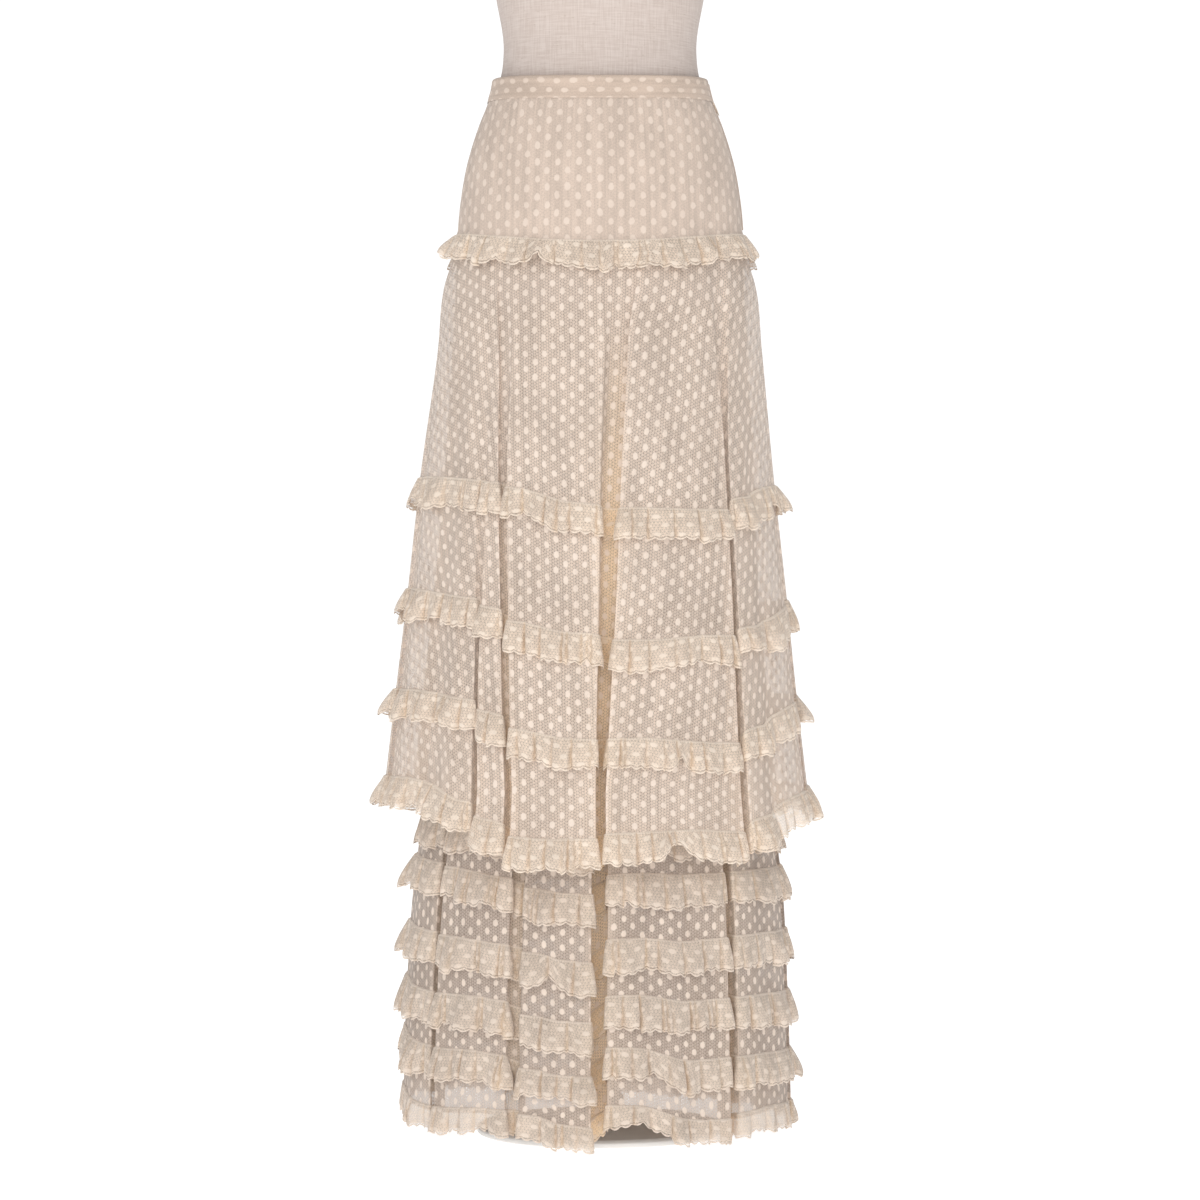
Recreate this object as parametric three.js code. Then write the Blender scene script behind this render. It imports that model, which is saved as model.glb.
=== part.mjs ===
// A two-tier tulle skirt with gathered ruffles, worn by a limbless dress form on a stand.
// Millimetres, +Z up, origin on the floor under the stand's pole. The front faces -Y.
// Angles are degrees from the front, and 90 is at +X.
import * as THREE from "three";

// Driving dimensions
const HIP_SEAM = 985; // height of the seam that joins yoke and tiers, at the sides
const HIP_SEAM_DIP = 16; // how much lower that seam hangs at centre front
const WAIST_SEAM = 1131; // height of the waistband's lower edge, at the sides
const WAIST_DIP = 6;
const BAND_HEIGHT = 25;
const BAND_LEAN = 2.5; // the waistband's upper edge lies this much further in
const PANEL_CLOTH = 1.2;
const NET_CLOTH = 1;
const RUFFLE_CLOTH = 1;
const BAND_CLOTH = 2;
const SEAM_GAP = 0.3; // pieces that are sewn together lie this far apart
const SEAM_ALLOWANCE = 6; // a panel goes this far on under the ruffle at its edge
const RUFFLE_STAND = 0.5; // a ruffle's upper edge stands this far off its panel
const RUFFLE_LIFT = 1; // and its lower edge at least this much further
const YOKE_EASE = 1.4; // the yoke lies this far off the form at the hips
const WAIST_EASE = 4; // and this far at the waist seam
const FULL_HIP = 1075; // up to this height the yoke has no more than YOKE_EASE
const WAVES = 16; // waves in each ruffle
const CLOSED_DEPTH = 30; // a ruffle lies flat down in folds of this depth
const CLOSED_WIDTH = 1.5; // and over this many of a fold's widths
const POLE_RADIUS = 12.5;
const BASE_RADIUS = 135;
const HUB_RADIUS = 26;
const BASE_PLATE = 10;
const HUB_TOP = 46;

// Columns of points round a piece
const FORM_COLUMNS = 40;
const OVERSKIRT_COLUMNS = 96;
const UNDERSKIRT_COLUMNS = 80;
const COLUMN_LENGTH = 40; // this length of edge asks for as many columns
const COLUMN_TURN = 0.55; // as this turn in radians

// Level rows of points between the seams
const YOKE_ROWS = [1105, 1075, 1025];
const OVERSKIRT_ROWS = [930, 840];
const NET_ROWS = [872, 620];

// The dress form's outline: half of its width, and its depth in front of and behind the pole's axis
const FORM = [
  { z: 868, side: 138, front: 96, back: 104 },
  { z: 880, side: 148, front: 104, back: 114 },
  { z: 960, side: 155, front: 109, back: 120 },
  { z: 1025, side: 151, front: 106, back: 116 },
  { z: 1075, side: 141, front: 99, back: 107 },
  { z: 1105, side: 130, front: 92, back: 98 },
  { z: 1135, side: 117, front: 84, back: 88 },
  { z: 1160, side: 109, front: 79, back: 82 },
  { z: 1190, side: 106, front: 77, back: 79 },
  { z: 1245, side: 114, front: 83, back: 82 },
  { z: 1300, side: 124, front: 90, back: 88 },
  { z: 1340, side: 131, front: 95, back: 93 },
  { z: 1380, side: 137, front: 97, back: 97 },
  { z: 1420, side: 143, front: 93, back: 98 },
  { z: 1460, side: 151, front: 85, back: 94 },
  { z: 1495, side: 159, front: 76, back: 87 },
  { z: 1520, side: 162, front: 68, back: 79 },
  { z: 1537, side: 153, front: 62, back: 72 },
  { z: 1552, side: 131, front: 58, back: 66 },
  { z: 1566, side: 103, front: 55, back: 61 },
  { z: 1582, side: 78, front: 52, back: 57 },
  { z: 1602, side: 62, front: 50, back: 54 },
  { z: 1640, side: 55, front: 49, back: 52 },
];
const BUST = { angle: 29, spread: 18, height: 1372, rise: 52, swell: 13 };

// Outlines of the cloth's middle surface. shift moves a section sideways, because the skirt hangs unevenly.
const OVERSKIRT = [
  { z: 985, side: 157.5, front: 111.4, back: 122.1, shift: 0 },
  { z: 969, side: 159.5, front: 112.5, back: 124, shift: 0 },
  { z: 930, side: 171, front: 124, back: 135, shift: 0 },
  { z: 860, side: 178, front: 138, back: 148, shift: 0 },
  { z: 720, side: 194, front: 163, back: 170, shift: -3 },
  { z: 590, side: 208, front: 184, back: 189, shift: -3 },
  { z: 480, side: 220, front: 197, back: 201, shift: -4 },
  { z: 340, side: 236, front: 210, back: 213, shift: -4 },
];
const UNDERSKIRT = [
  { z: 985, side: 155.8, front: 109.7, back: 120.4, shift: 0 },
  { z: 880, side: 161, front: 113, back: 124, shift: 0 },
  { z: 720, side: 170, front: 130, back: 138, shift: -1 },
  { z: 347, side: 192, front: 165, back: 170, shift: -2 },
  { z: 290, side: 200, front: 173, back: 178, shift: -2 },
  { z: 150, side: 209, front: 184, back: 188, shift: -3 },
  { z: 0, side: 213, front: 191, back: 194, shift: -3 },
];

// Deep folds. seam and hem are a fold's angles at the hip seam and the hem, and width is half of its width.
const OVERSKIRT_FOLDS = [
  { seam: -50, hem: -38.5, depth: 14, width: 3.4 },
  { seam: -40, hem: -28, depth: 34, width: 4.9 },
  { seam: 6.5, hem: 3, depth: 50, width: 5.8 },
  { seam: 48, hem: 49.5, depth: 40, width: 5.8 },
  { seam: 82, hem: 82, depth: 7, width: 7 },
  { seam: 119, hem: 117, depth: 30, width: 7.5 },
  { seam: 148, hem: 146, depth: 36, width: 6.5 },
  { seam: 178, hem: 177, depth: 44, width: 6.5 },
  { seam: 209, hem: 208, depth: 40, width: 7 },
  { seam: 243, hem: 245, depth: 30, width: 7.5 },
  { seam: 278, hem: 281, depth: 8, width: 8 },
];
const UNDERSKIRT_FOLDS = [
  { seam: -60, hem: -53, depth: 16, width: 5.5 },
  { seam: -36, hem: -25, depth: 12, width: 6 },
  { seam: 6, hem: 0.5, depth: 44, width: 6 },
  { seam: 50, hem: 43, depth: 30, width: 5.8 },
  { seam: 82, hem: 81, depth: 6, width: 8 },
  { seam: 119, hem: 117, depth: 22, width: 8 },
  { seam: 148, hem: 146, depth: 28, width: 7 },
  { seam: 178, hem: 177, depth: 34, width: 7 },
  { seam: 209, hem: 208, depth: 30, width: 7.5 },
  { seam: 243, hem: 245, depth: 22, width: 8 },
];
const FOLDS_FROM = { overskirt: 962, underskirt: 872 }; // the folds grow from this height
const FOLDS_FULL = 384; // down to this one
const FOLD_GROWTH = 0.8; // faster at first, as a power of the way down

// Heights of the ruffles' stitched edges round each tier
const OVERSKIRT_SEAMS = [
  { angle: -180, ruffle_1: 706, ruffle_2: 576, ruffle_3: 474, hem_ruffle: 376 },
  { angle: -120, ruffle_1: 713, ruffle_2: 588, ruffle_3: 484, hem_ruffle: 387 },
  { angle: -80, ruffle_1: 720, ruffle_2: 599, ruffle_3: 489, hem_ruffle: 394 },
  { angle: -46, ruffle_1: 716, ruffle_2: 591, ruffle_3: 485, hem_ruffle: 386 },
  { angle: -35, ruffle_1: 713, ruffle_2: 586, ruffle_3: 478, hem_ruffle: 368 },
  { angle: -21, ruffle_1: 707, ruffle_2: 566, ruffle_3: 453, hem_ruffle: 340 },
  { angle: -4, ruffle_1: 684, ruffle_2: 548, ruffle_3: 439, hem_ruffle: 337 },
  { angle: 12, ruffle_1: 683, ruffle_2: 544, ruffle_3: 441, hem_ruffle: 343 },
  { angle: 30, ruffle_1: 682, ruffle_2: 548, ruffle_3: 436, hem_ruffle: 344 },
  { angle: 42, ruffle_1: 684, ruffle_2: 549, ruffle_3: 435, hem_ruffle: 338 },
  { angle: 57, ruffle_1: 702, ruffle_2: 563, ruffle_3: 460, hem_ruffle: 366 },
  { angle: 85, ruffle_1: 711, ruffle_2: 584, ruffle_3: 478, hem_ruffle: 380 },
  { angle: 125, ruffle_1: 708, ruffle_2: 580, ruffle_3: 479, hem_ruffle: 379 },
  { angle: 180, ruffle_1: 706, ruffle_2: 576, ruffle_3: 474, hem_ruffle: 376 },
];
const UNDERSKIRT_SEAMS = [
  { angle: -180, ruffle_1: 346, ruffle_2: 296, ruffle_3: 228, ruffle_4: 162, ruffle_5: 100, hem_ruffle: 44 },
  { angle: -90, ruffle_1: 355, ruffle_2: 308, ruffle_3: 236, ruffle_4: 177, ruffle_5: 122, hem_ruffle: 60 },
  { angle: -60, ruffle_1: 349, ruffle_2: 303, ruffle_3: 229, ruffle_4: 165, ruffle_5: 107, hem_ruffle: 49 },
  { angle: -32, ruffle_1: 342, ruffle_2: 292, ruffle_3: 222, ruffle_4: 163, ruffle_5: 106, hem_ruffle: 52 },
  { angle: -18, ruffle_1: 334, ruffle_2: 281, ruffle_3: 214, ruffle_4: 148, ruffle_5: 92, hem_ruffle: 44 },
  { angle: -5, ruffle_1: 330, ruffle_2: 277, ruffle_3: 205, ruffle_4: 144, ruffle_5: 87, hem_ruffle: 32 },
  { angle: 6, ruffle_1: 342, ruffle_2: 294, ruffle_3: 226, ruffle_4: 167, ruffle_5: 113, hem_ruffle: 56 },
  { angle: 28, ruffle_1: 343, ruffle_2: 295, ruffle_3: 225, ruffle_4: 162, ruffle_5: 100, hem_ruffle: 43 },
  { angle: 40, ruffle_1: 343, ruffle_2: 296, ruffle_3: 228, ruffle_4: 164, ruffle_5: 101, hem_ruffle: 40 },
  { angle: 54, ruffle_1: 344, ruffle_2: 296, ruffle_3: 228, ruffle_4: 163, ruffle_5: 100, hem_ruffle: 47 },
  { angle: 90, ruffle_1: 346, ruffle_2: 296, ruffle_3: 227, ruffle_4: 160, ruffle_5: 96, hem_ruffle: 44 },
  { angle: 180, ruffle_1: 346, ruffle_2: 296, ruffle_3: 228, ruffle_4: 162, ruffle_5: 100, hem_ruffle: 44 },
];

// Ruffles. drop is a ruffle's height, and flare and wave are how far its lower edge stands off and swings.
const HIP_RUFFLE = { row: "hip_ruffle", drop: 32, flare: 10, wave: 6 };
const HIP_RUFFLE_DROP = 2; // the hip ruffle's edge lies this far below the hip seam
const OVERSKIRT_RUFFLES = [
  { row: "ruffle_1", drop: 34, flare: 7, wave: 5 },
  { row: "ruffle_2", drop: 34, flare: 7, wave: 5 },
  { row: "ruffle_3", drop: 33, flare: 7, wave: 5 },
  { row: "hem_ruffle", drop: 34, flare: 9, wave: 6 },
];
const UNDERSKIRT_RUFFLES = [
  { row: "ruffle_1", drop: 33, flare: 5, wave: 4 },
  { row: "ruffle_2", drop: 36, flare: 9, wave: 5 },
  { row: "ruffle_3", drop: 36, flare: 9, wave: 5 },
  { row: "ruffle_4", drop: 36, flare: 9, wave: 5 },
  { row: "ruffle_5", drop: 35, flare: 9, wave: 5 },
  { row: "hem_ruffle", drop: 27, flare: 3, wave: 4 },
];

const tulle = new THREE.MeshStandardMaterial({ color: 0xe4d2bf, roughness: 0.85, metalness: 0 });
const ruffleTulle = new THREE.MeshStandardMaterial({ color: 0xead9c5, roughness: 0.85, metalness: 0 });
const plainNet = new THREE.MeshStandardMaterial({ color: 0xd8c8b6, roughness: 0.9, metalness: 0 });
const linen = new THREE.MeshStandardMaterial({ color: 0xdbccc3, roughness: 0.9, metalness: 0 });
const beech = new THREE.MeshStandardMaterial({ color: 0xcdb08c, roughness: 0.5, metalness: 0 });
const paintedSteel = new THREE.MeshStandardMaterial({ color: 0xd9d4cd, roughness: 0.45, metalness: 0.2 });

const radians = THREE.MathUtils.degToRad;
const bell = (x) => Math.exp(-x * x);
const turned = (a) => ((((a + 180) % 360) + 360) % 360) - 180; // an angle from -180 to 180
const frontness = (a) => Math.max(0, Math.cos(radians(a))) ** 2;

// Reads a column of a table at a height or an angle, straight between its rows.
function at(table, along, column, value) {
  const rows = [...table].sort((p, q) => p[along] - q[along]);
  const above = rows.findIndex((row) => row[along] >= value);
  if (above === -1) return rows.at(-1)[column];
  if (above === 0) return rows[0][column];
  const [low, high] = [rows[above - 1], rows[above]];
  return THREE.MathUtils.mapLinear(value, low[along], high[along], low[column], high[column]);
}

// A point on an outline of two half-ellipses, one in front and one behind.
function oval({ side, front, back }, angle, shift = 0) {
  const across = Math.sin(radians(angle));
  const along = Math.cos(radians(angle));
  return new THREE.Vector2(shift + side * across, -(along > 0 ? front : back) * along);
}

// The outward normal of a closed outline, from its neighbours on each side of an angle.
function outward(outline, angle) {
  const step = 0.2;
  const along = outline(angle + step).sub(outline(angle - step));
  return new THREE.Vector2(along.y, -along.x).normalize();
}

// The named columns of a table at a height, in a list.
const section = (table, z, columns) => columns.map((column) => at(table, "z", column, z));

function formOutline(z) {
  const [side, front, back] = section(FORM, z, ["side", "front", "back"]);
  return (angle) => {
    const mound =
      BUST.swell *
      bell((Math.abs(turned(angle)) - BUST.angle) / BUST.spread) *
      bell((z - BUST.height) / BUST.rise);
    return oval({ side, front: front + mound, back }, angle);
  };
}

// A tier of the skirt: its outline at any height. Each fold drifts from its seam angle to its hem angle.
function tier(table, folds, foldsFrom) {
  const fixed = [-180, -90, 90, 180].map((angle) => ({ seam: angle, hem: angle }));
  const guides = [...folds.map((f) => ({ seam: turned(f.seam), hem: turned(f.hem) })), ...fixed];
  guides.sort((p, q) => p.hem - q.hem);
  const drift = (column) => {
    const angle = THREE.MathUtils.clamp(turned(column), -179.999, 179.999);
    const next = guides.findIndex((guide) => guide.hem > angle);
    const [a, b] = [guides[next - 1], guides[next]];
    return THREE.MathUtils.mapLinear(angle, a.hem, b.hem, a.seam - a.hem, b.seam - b.hem);
  };
  const share = (column, { hem, width }, stretch = 1) => bell(turned(column - hem) / (width * stretch));
  const outline = (z) => {
    const down = THREE.MathUtils.clamp((foldsFrom - z) / (foldsFrom - FOLDS_FULL), 0, 1);
    const [side, front, back, shift] = section(table, z, ["side", "front", "back", "shift"]);
    return (column) => {
      const full = folds.reduce((sum, fold) => sum + fold.depth * share(column, fold), 0);
      const inward = full * down ** FOLD_GROWTH;
      const angle = column + drift(column) * (1 - down);
      return oval({ side: side - inward, front: front - inward, back: back - inward }, angle, shift);
    };
  };
  // How free a ruffle is to stand off: 1 on a crest, near 0 down in a fold.
  const freedom = (column) =>
    folds.reduce((free, { depth, ...fold }) => {
      const closed = Math.min(1, depth / CLOSED_DEPTH);
      return free * (1 - closed * share(column, fold, CLOSED_WIDTH));
    }, 1);
  return { outline, freedom };
}

// Angles for the columns of a piece, closest where its lower edge bends most. Both side seams get one.
function columnsOf(outline, count) {
  const step = 0.5;
  const weigh = (angle) => {
    const [a, b, c] = [-step, 0, step].map((d) => outline(angle + d));
    const [p, q] = [b.clone().sub(a), c.clone().sub(b)];
    const bend = Math.abs(Math.atan2(p.cross(q), p.dot(q)));
    return q.length() / COLUMN_LENGTH + bend / COLUMN_TURN;
  };
  const spread = (start) => {
    const marks = [];
    let sum = 0;
    for (let angle = start; angle < start + 180; angle += step) {
      marks.push({ angle, sum });
      sum += weigh(angle + step / 2);
    }
    marks.push({ angle: start + 180, sum });
    return Array.from({ length: count / 2 }, (_, i) => {
      const wanted = (sum * i) / (count / 2);
      const next = Math.max(1, marks.findIndex((m) => m.sum >= wanted));
      return THREE.MathUtils.mapLinear(
        wanted, marks[next - 1].sum, marks[next].sum, marks[next - 1].angle, marks[next].angle);
    });
  };
  return [...spread(-90), ...spread(90)];
}

// A solid from loops of points, each joined to the next. closed joins the last loop to the first, and without
// it both ends are capped. From the point mirroredFrom on, the faces are split along their other diagonal.
function loft(name, loops, closed, material, mirroredFrom = Infinity) {
  const size = loops[0].length;
  const index = [];
  const corner = (j, k) => (j % loops.length) * size + (k % size);
  for (let j = 0; j < loops.length - (closed ? 0 : 1); j++)
    for (let k = 0; k < size; k++) {
      const [a, b, c, d] = [corner(j, k), corner(j + 1, k), corner(j + 1, k + 1), corner(j, k + 1)];
      index.push(...(k < mirroredFrom ? [a, d, c, a, c, b] : [a, d, b, d, c, b]));
    }
  if (!closed)
    for (let k = 0; k < size / 2 - 1; k++) {
      const rung = [k, k + 1, size - 2 - k, size - 1 - k];
      const [a, b, c, d] = rung.map((point) => corner(0, point));
      const [e, f, g, h] = rung.map((point) => corner(loops.length - 1, point));
      index.push(a, c, b, a, d, c, e, f, g, e, g, h);
    }
  const geometry = new THREE.BufferGeometry().setFromPoints(loops.flat());
  geometry.setIndex(index);
  geometry.computeVertexNormals();
  const mesh = new THREE.Mesh(geometry, material);
  mesh.name = name;
  return mesh;
}

// A wall of cloth. Each column holds its points from the upper edge down, as { point, normal, z }. Its inner
// face is split as the outer one is, so that a twisted wall keeps its thickness.
function wall(name, columns, thickness, closed, material) {
  const loops = columns.map((column) => {
    const side = (way) =>
      column.map(({ point, normal, z }) => {
        const moved = point.clone().addScaledVector(normal, (way * thickness) / 2);
        return new THREE.Vector3(moved.x, moved.y, z);
      });
    return [...side(1), ...side(-1).reverse()];
  });
  return loft(name, loops, closed, material, columns[0].length);
}

// The half of a piece from the side seam at start round to the other, half a seam gap short of both. column
// gives the points of a column from its angle.
function half(columns, start, column) {
  const inner = columns.filter((angle) => angle > start && angle < start + 180);
  const gap = (start < 0 ? -SEAM_GAP : SEAM_GAP) / 2;
  const seam = (angle) =>
    column(angle).map(({ point, z }) => ({
      point: new THREE.Vector2(point.x, gap),
      normal: new THREE.Vector2(Math.sign(point.x), 0),
      z,
    }));
  return [seam(start), ...inner.map(column), seam(start + 180)];
}

const evenColumns = (count) => Array.from({ length: count }, (_, i) => -90 + (360 * i) / count);
const hipSeam = (angle) => HIP_SEAM - HIP_SEAM_DIP * frontness(angle);
const waistSeam = (angle) => WAIST_SEAM - WAIST_DIP * frontness(angle);

function dressForm() {
  const ring = ({ z }) =>
    evenColumns(FORM_COLUMNS).map((angle) => {
      const point = formOutline(z)(angle);
      return new THREE.Vector3(point.x, point.y, z);
    });
  return loft("form_torso", FORM.map(ring), false, linen);
}

// A turned piece, from its profile of [radius, height] pairs that start and end on the axis.
function turnedPiece(name, profile, material) {
  const points = profile.map(([radius, height]) => new THREE.Vector2(radius, height));
  const mesh = new THREE.Mesh(new THREE.LatheGeometry(points, 32), material);
  mesh.name = name;
  mesh.rotation.x = Math.PI / 2;
  return mesh;
}

function stand() {
  const top = FORM.at(-1).z + SEAM_GAP;
  const poleTop = FORM[0].z - SEAM_GAP;
  const neckCap = turnedPiece(
    "form_neck_cap",
    [[0, top], [50, top], [53, top + 4], [53, top + 12], [44, top + 18], [16, top + 22], [0, top + 23]],
    beech,
  );
  const pole = turnedPiece(
    "form_pole",
    [[0, HUB_TOP + SEAM_GAP], [POLE_RADIUS, HUB_TOP + SEAM_GAP], [POLE_RADIUS, poleTop], [0, poleTop]],
    paintedSteel,
  );
  const base = turnedPiece(
    "form_base",
    [
      [0, 0], [BASE_RADIUS - 2, 0], [BASE_RADIUS, 2], [BASE_RADIUS, BASE_PLATE - 3],
      [BASE_RADIUS - 4, BASE_PLATE], [HUB_RADIUS + 4, BASE_PLATE + 4], [HUB_RADIUS, BASE_PLATE + 8],
      [HUB_RADIUS - 6, HUB_TOP], [0, HUB_TOP],
    ],
    paintedSteel,
  );
  return [neckCap, pole, base];
}

// How far the yoke's middle surface stands off the form at a height.
function yokeStand(z) {
  const share = THREE.MathUtils.clamp((z - FULL_HIP) / (WAIST_SEAM - FULL_HIP), 0, 1);
  return PANEL_CLOTH / 2 + THREE.MathUtils.lerp(YOKE_EASE, WAIST_EASE, share);
}

function yokePoint(angle, z) {
  const outline = formOutline(z);
  const normal = outward(outline, angle);
  return { point: outline(angle).addScaledVector(normal, yokeStand(z)), normal, z };
}

function yoke() {
  const column = (angle) =>
    [waistSeam(angle) - SEAM_GAP, ...YOKE_ROWS, hipSeam(angle)].map((z) => yokePoint(angle, z));
  const columns = evenColumns(FORM_COLUMNS);
  return [
    wall("yoke_front", half(columns, -90, column), PANEL_CLOTH, false, tulle),
    wall("yoke_back", half(columns, 90, column), PANEL_CLOTH, false, tulle),
  ];
}

function waistband() {
  const columns = evenColumns(FORM_COLUMNS).map((angle) => {
    const lower = yokePoint(angle, waistSeam(angle));
    const upper = lower.point.clone().addScaledVector(lower.normal, -BAND_LEAN);
    return [{ ...lower, point: upper, z: lower.z + BAND_HEIGHT }, lower];
  });
  return wall("waistband", columns, BAND_CLOTH, true, tulle);
}

// A function from a column's angle to the height of a row's stitched edge.
const seamHeight = (seams, row) => (angle) => at(seams, "angle", row, turned(angle));

// A function from a column's angle to its points at the given heights, from the upper edge down.
function panelColumn({ outline }, heights) {
  return (column) =>
    heights.map((height) => {
      const z = height(column);
      return { point: outline(z)(column), normal: outward(outline(z), column), z };
    });
}

// The front and back halves of a panel, from its column function.
function halves(name, columns, column, thickness, material) {
  return [
    wall(`${name}_front`, half(columns, -90, column), thickness, false, material),
    wall(`${name}_back`, half(columns, 90, column), thickness, false, material),
  ];
}

// A place on a panel's column at a height, moved out from it. Below the panel's edge it carries straight on.
function onPanel(points, z, out) {
  const below = points.findIndex((row) => row.z <= z);
  const next = below === -1 ? points.length - 1 : Math.max(1, below);
  const [high, low] = [points[next - 1], points[next]];
  const share = (high.z - z) / (high.z - low.z);
  const normal = high.normal.clone().lerp(low.normal, share).normalize();
  const point = high.point.clone().lerp(low.point, share).addScaledVector(normal, out);
  return { point, normal, z };
}

// A gathered strip that stands off its panel and waves towards its lower edge.
function ruffle(name, { skirt, columns, column }, row, height) {
  const rest = (PANEL_CLOTH + RUFFLE_CLOTH) / 2 + RUFFLE_STAND;
  const seam = columns.map((angle) => onPanel(column(angle), height(angle), rest));
  const lengths = seam.map(({ point }, i) => point.distanceTo(seam[(i + 1) % seam.length].point));
  const round = lengths.reduce((sum, length) => sum + length, 0);
  let along = 0;
  const points = columns.map((angle, i) => {
    const wave = Math.sin((2 * Math.PI * WAVES * along) / round + height(0));
    along += lengths[i];
    const out = rest + RUFFLE_LIFT + skirt.freedom(angle) * (row.flare + row.wave * wave);
    return [seam[i], onPanel(column(angle), height(angle) - row.drop, out)];
  });
  return wall(name, points, RUFFLE_CLOTH, true, ruffleTulle);
}

function skirt() {
  const over = tier(OVERSKIRT, OVERSKIRT_FOLDS, FOLDS_FROM.overskirt);
  const under = tier(UNDERSKIRT, UNDERSKIRT_FOLDS, FOLDS_FROM.underskirt);
  const overRows = OVERSKIRT_RUFFLES.map(({ row }) => seamHeight(OVERSKIRT_SEAMS, row));
  const underRows = UNDERSKIRT_RUFFLES.map(({ row }) => seamHeight(UNDERSKIRT_SEAMS, row));
  const level = (z) => () => z;
  const lowered = (height, drop) => (angle) => height(angle) - drop;
  const upperEdge = lowered(hipSeam, SEAM_GAP);

  const overskirt = {
    skirt: over,
    columns: columnsOf(over.outline(FOLDS_FULL), OVERSKIRT_COLUMNS),
    column: panelColumn(over, [
      upperEdge, ...OVERSKIRT_ROWS.map(level), ...overRows.slice(0, -1),
      lowered(overRows.at(-1), SEAM_ALLOWANCE),
    ]),
  };
  const underskirt = {
    skirt: under,
    columns: columnsOf(under.outline(0), UNDERSKIRT_COLUMNS),
    column: panelColumn(under, [
      lowered(underRows[0], -SEAM_ALLOWANCE), ...underRows.slice(1, -1),
      lowered(underRows.at(-1), SEAM_ALLOWANCE),
    ]),
  };
  const netColumn = panelColumn(under, [
    upperEdge, ...NET_ROWS.map(level), lowered(underRows[0], -SEAM_ALLOWANCE - SEAM_GAP),
  ]);
  return [
    ...halves("overskirt", overskirt.columns, overskirt.column, PANEL_CLOTH, tulle),
    ...halves("net_underlayer", underskirt.columns, netColumn, NET_CLOTH, plainNet),
    ...halves("underskirt", underskirt.columns, underskirt.column, PANEL_CLOTH, tulle),
    ruffle(HIP_RUFFLE.row, overskirt, HIP_RUFFLE, lowered(hipSeam, HIP_RUFFLE_DROP)),
    ...OVERSKIRT_RUFFLES.map((row, i) => ruffle(`overskirt_${row.row}`, overskirt, row, overRows[i])),
    ...UNDERSKIRT_RUFFLES.map((row, i) => ruffle(`underskirt_${row.row}`, underskirt, row, underRows[i])),
  ];
}

const part = new THREE.Group();
part.add(dressForm(), ...stand(), ...yoke(), waistband(), ...skirt());

export default part;
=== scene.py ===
import math
import random

import bmesh
import bpy
import numpy as np
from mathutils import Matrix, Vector


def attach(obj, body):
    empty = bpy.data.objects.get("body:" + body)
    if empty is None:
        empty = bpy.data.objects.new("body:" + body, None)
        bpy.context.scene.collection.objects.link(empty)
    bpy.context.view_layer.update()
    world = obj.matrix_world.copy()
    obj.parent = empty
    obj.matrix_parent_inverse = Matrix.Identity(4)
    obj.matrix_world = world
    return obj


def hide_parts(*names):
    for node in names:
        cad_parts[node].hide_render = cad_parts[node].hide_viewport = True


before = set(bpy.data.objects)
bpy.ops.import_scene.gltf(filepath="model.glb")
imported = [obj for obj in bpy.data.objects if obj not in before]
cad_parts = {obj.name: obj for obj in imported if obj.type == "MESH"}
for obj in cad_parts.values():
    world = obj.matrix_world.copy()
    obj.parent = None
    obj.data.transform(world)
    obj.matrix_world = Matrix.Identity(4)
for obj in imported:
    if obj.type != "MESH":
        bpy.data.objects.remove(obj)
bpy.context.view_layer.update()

# The studio: a white floor that runs out of sight, white air all round, and broad soft boxes in front.
# The camera stands four metres off at the height of the skirt's middle, level, and frames it to the hem.
camera = bpy.data.objects.new("camera", bpy.data.cameras.new("camera"))
bpy.context.scene.collection.objects.link(camera)
camera_away, picture_middle, picture_width = 4.0, 0.585, 1.32
camera.location = (0, -camera_away, picture_middle)
camera.rotation_euler = (math.radians(90), 0, 0)
camera.data.sensor_width = 36
camera.data.lens = 36 * camera_away / picture_width
bpy.context.scene.camera = camera

for place, width, power in (
    ((-1.4, -3.9, 2.4), 2.2, 50),
    ((1.5, -4.1, 1.9), 2.2, 28),
    ((0.0, -4.6, 0.9), 1.6, 12),
):
    lamp = bpy.data.lights.new("soft_box", "AREA")
    lamp.shape = "SQUARE"
    lamp.size = width
    lamp.energy = power
    lamp.color = (1.0, 0.985, 0.965)
    soft_box = bpy.data.objects.new("soft_box", lamp)
    soft_box.location = place
    aim = Vector((0, 0, 0.8)) - soft_box.location
    soft_box.rotation_euler = aim.to_track_quat("-Z", "Y").to_euler()
    bpy.context.scene.collection.objects.link(soft_box)


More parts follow.
